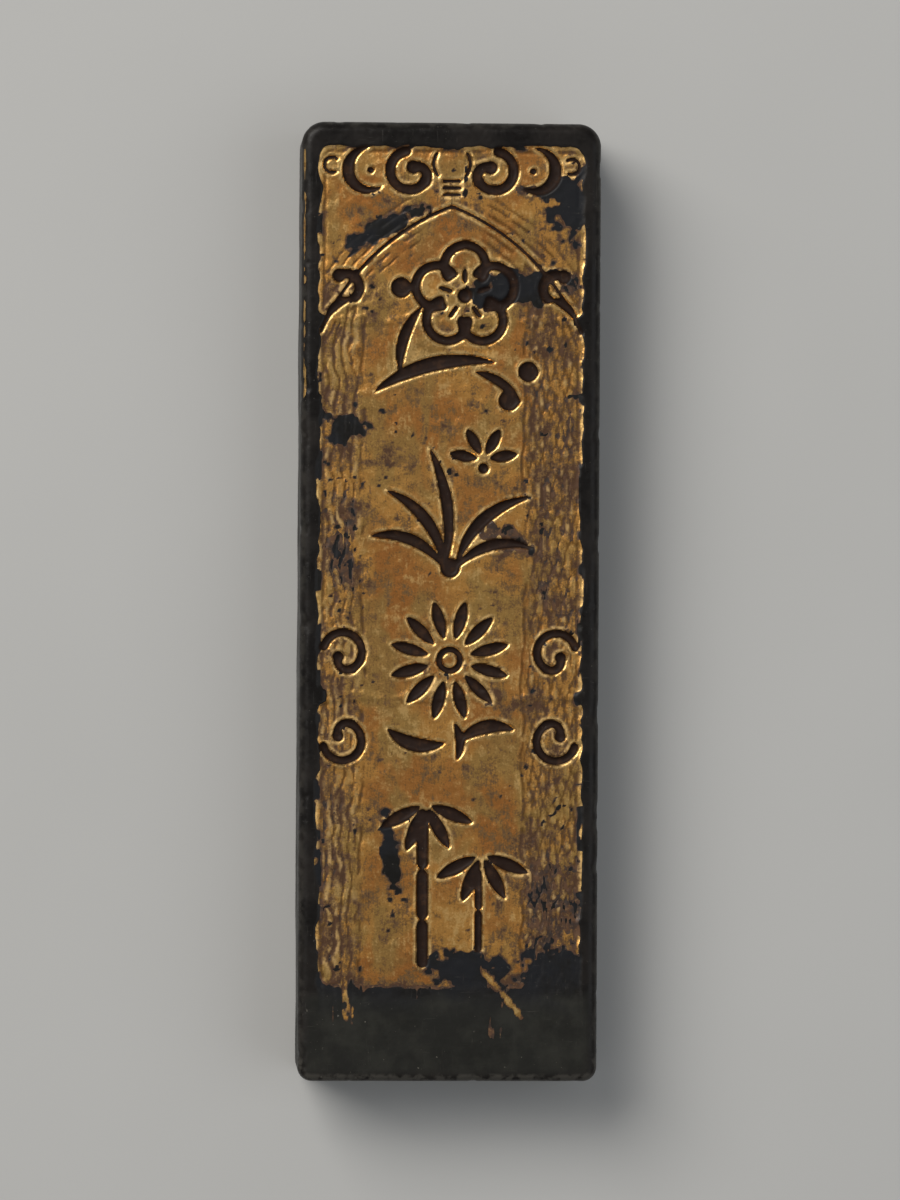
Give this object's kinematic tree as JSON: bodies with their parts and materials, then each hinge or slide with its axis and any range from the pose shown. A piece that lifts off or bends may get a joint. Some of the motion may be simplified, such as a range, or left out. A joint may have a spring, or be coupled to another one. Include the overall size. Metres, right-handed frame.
{
  "type": "ink stick",
  "caption": "Used gilded ink stick for calligraphy: a flat black cake with an incised, gold-leafed front, a bare ground end and a plain back.",
  "frame": {"origin": "middle of the rest face, which is the plain back of the stick", "axes": "+X across the stick to the right, +Y along it towards the cloud border, +Z out of the gilded front"},
  "size_m": [0.031, 0.099, 0.011],
  "materials": {
    "ink": "matte black soot and glue, faintly glossy where it has been handled, grey where it is worn or ground",
    "lacquer_size": "thin brown lacquer that shows where the gold is worn",
    "gold_leaf": "aged gold powder and leaf, satin, worn thin and speckled with black"
  },
  "bodies": {
    "root": {"ink_cake": "ink", "gilding_size": "lacquer_size", "gilt_centre_lobe": "gold_leaf", "gilt_inner_volute_left": "gold_leaf", "gilt_inner_volute_right": "gold_leaf", "gilt_outer_volute_left": "gold_leaf", "gilt_outer_volute_right": "gold_leaf", "gilt_corner_left": "gold_leaf", "gilt_corner_right": "gold_leaf", "gilt_spandrel_left": "gold_leaf", "gilt_spandrel_right": "gold_leaf", "gilt_hook_left": "gold_leaf", "gilt_hook_right": "gold_leaf", "gilt_field": "gold_leaf", "gilt_border_left": "gold_leaf", "gilt_border_right": "gold_leaf", "gilt_scroll_left_upper": "gold_leaf", "gilt_scroll_left_lower": "gold_leaf", "gilt_scroll_right_upper": "gold_leaf", "gilt_scroll_right_lower": "gold_leaf", "gilt_edge_line": "gold_leaf"}
  },
  "joints": []
}
